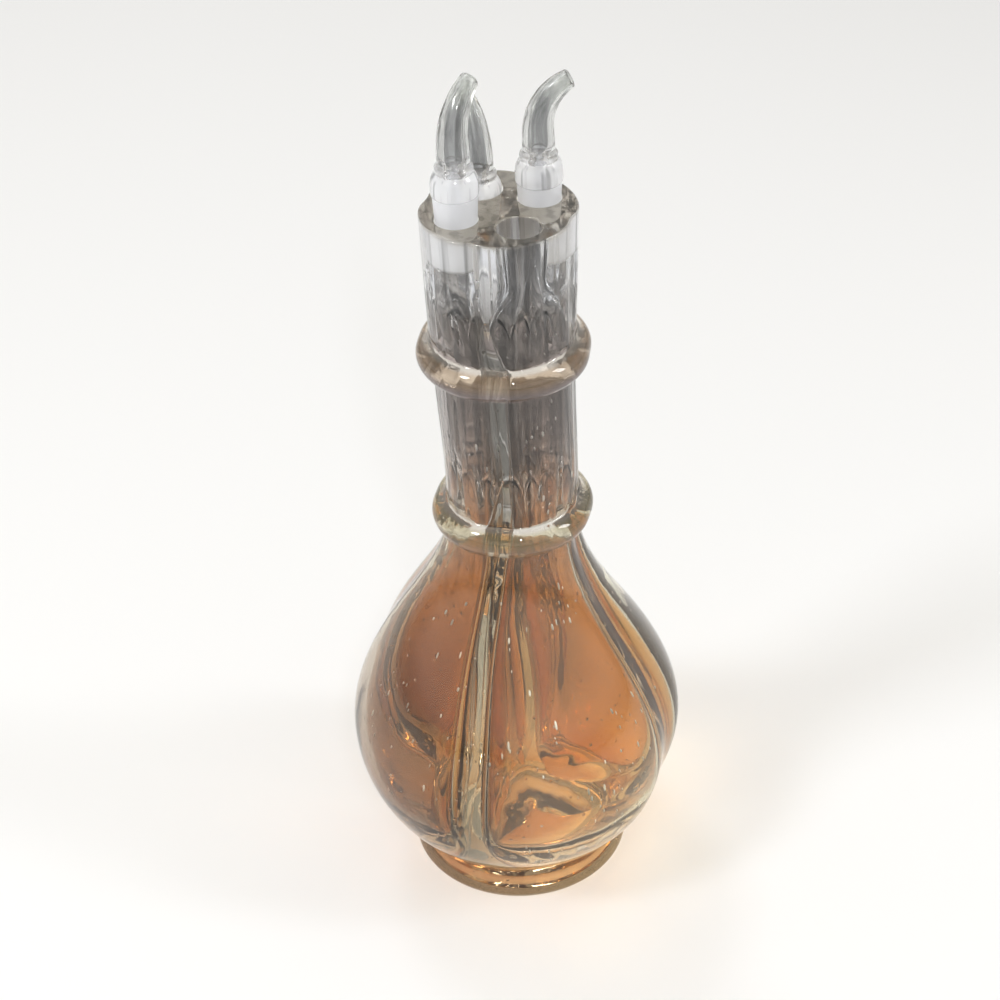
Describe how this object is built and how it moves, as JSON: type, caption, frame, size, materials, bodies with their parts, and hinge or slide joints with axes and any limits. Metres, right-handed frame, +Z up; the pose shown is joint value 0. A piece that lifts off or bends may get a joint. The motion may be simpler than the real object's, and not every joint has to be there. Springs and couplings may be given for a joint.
{
  "type": "four-chamber decanter",
  "caption": "Blown clear glass decanter divided into chambers that share one neck, with banded neck, applied foot and bent pouring spouts in ground mouths.",
  "frame": {"origin": "middle of the foot's resting ring, on the table", "axes": "+Z up along the decanter's axis, +X to the right in the picture, -Y towards the camera"},
  "size_m": [0.1258, 0.1258, 0.3274],
  "materials": {
    "body_glass": "polished, faint straw tint",
    "spout_glass": "polished horn and collar, ground plug"
  },
  "bodies": {
    "decanter": {"chamber_front": "body_glass", "chamber_right": "body_glass", "chamber_rear": "body_glass", "chamber_left": "body_glass", "upper_neck_band": "body_glass", "lower_neck_band": "body_glass", "foot": "body_glass"},
    "right_spout": {"spout_right": "spout_glass"},
    "rear_spout": {"spout_rear": "spout_glass"},
    "left_spout": {"spout_left": "spout_glass"}
  },
  "joints": [
    {"name": "right_spout_lift", "type": "slide", "parent": "decanter", "child": "right_spout", "axis": [0, 0, 1], "range_m": [0, 0.035]},
    {"name": "rear_spout_lift", "type": "slide", "parent": "decanter", "child": "rear_spout", "axis": [0, 0, 1], "range_m": [0, 0.035]},
    {"name": "left_spout_lift", "type": "slide", "parent": "decanter", "child": "left_spout", "axis": [0, 0, 1], "range_m": [0, 0.035]}
  ]
}
